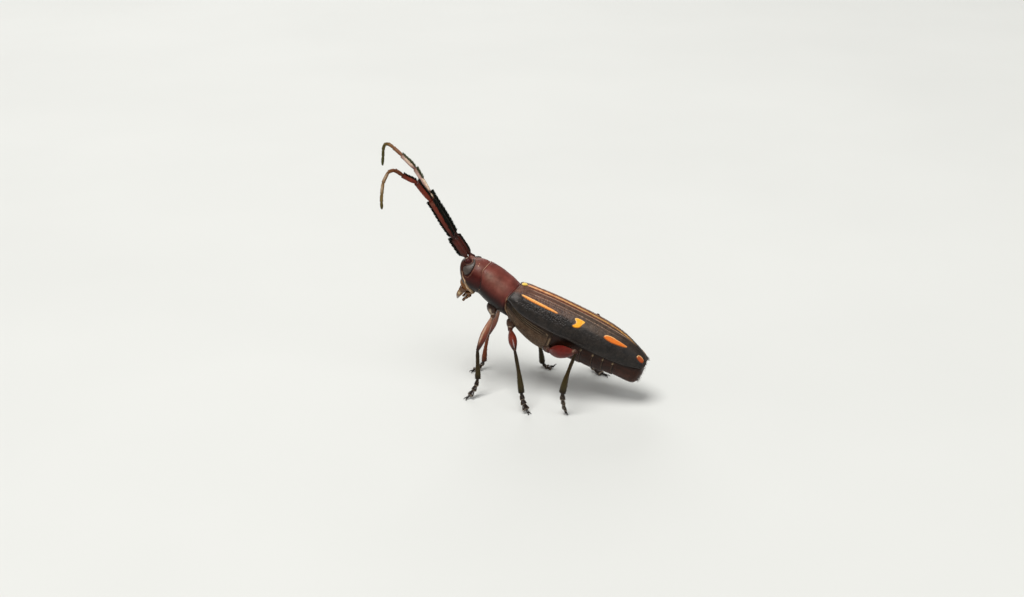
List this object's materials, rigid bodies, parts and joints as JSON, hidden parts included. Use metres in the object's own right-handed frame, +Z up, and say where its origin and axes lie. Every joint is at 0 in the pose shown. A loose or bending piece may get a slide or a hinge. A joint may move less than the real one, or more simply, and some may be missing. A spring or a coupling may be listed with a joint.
{
  "type": "gryllica longhorn beetle",
  "caption": "Life-size still model of a slender longhorn beetle standing with raised fore body, long antennae held ahead and drooping at the tips, pale striped and spotted wing cases.",
  "frame": {"origin": "on the floor under the middle of the model's box", "axes": "+Z up; -Y the way the head faces, so +Y runs towards the tail; +X the beetle's left side"},
  "size_m": [0.007, 0.0163, 0.0133],
  "materials": {
    "elytra": "satin chitin, blackish brown with pale stripes and orange-yellow spots",
    "maroon": "satin chitin, maroon brown",
    "sternum": "dull brown chitin with fine grey down",
    "abdomen": "dark reddish brown chitin",
    "eye": "dull grey faceted eye",
    "mouth": "glossy golden olive chitin",
    "femur": "glossy red-brown chitin",
    "tibia": "dark olive-brown chitin",
    "antenna": "dark red-brown chitin with a black fringe",
    "antenna_tip": "dull olive-brown chitin",
    "scutellum": "pale yellow down"
  },
  "bodies": {
    "root": {"abdomen": "abdomen", "antenna_left_bend": "antenna_tip", "antenna_left_fourth": "antenna", "antenna_left_scape": "antenna", "antenna_left_third": "antenna", "antenna_left_tip": "antenna_tip", "antenna_right_bend": "antenna_tip", "antenna_right_fourth": "antenna", "antenna_right_scape": "antenna", "antenna_right_third": "antenna", "antenna_right_tip": "antenna_tip", "elytron_left": "elytra", "elytron_right": "elytra", "eye_left": "eye", "eye_right": "eye", "front_left_coxa": "abdomen", "front_left_femur": "femur", "front_left_tarsus": "tibia", "front_left_tibia": "tibia", "front_right_coxa": "abdomen", "front_right_femur": "femur", "front_right_tarsus": "tibia", "front_right_tibia": "tibia", "head": "maroon", "hind_left_coxa": "abdomen", "hind_left_femur": "femur", "hind_left_tarsus": "tibia", "hind_left_tibia": "tibia", "hind_right_coxa": "abdomen", "hind_right_femur": "femur", "hind_right_tarsus": "tibia", "hind_right_tibia": "tibia", "labrum": "mouth", "mandible_left": "mouth", "mandible_right": "mouth", "middle_left_coxa": "abdomen", "middle_left_femur": "femur", "middle_left_tarsus": "tibia", "middle_left_tibia": "tibia", "middle_right_coxa": "abdomen", "middle_right_femur": "femur", "middle_right_tarsus": "tibia", "middle_right_tibia": "tibia", "palp_left": "mouth", "palp_right": "mouth", "prothorax": "maroon", "scutellum": "scutellum", "thorax": "sternum"}
  },
  "joints": []
}
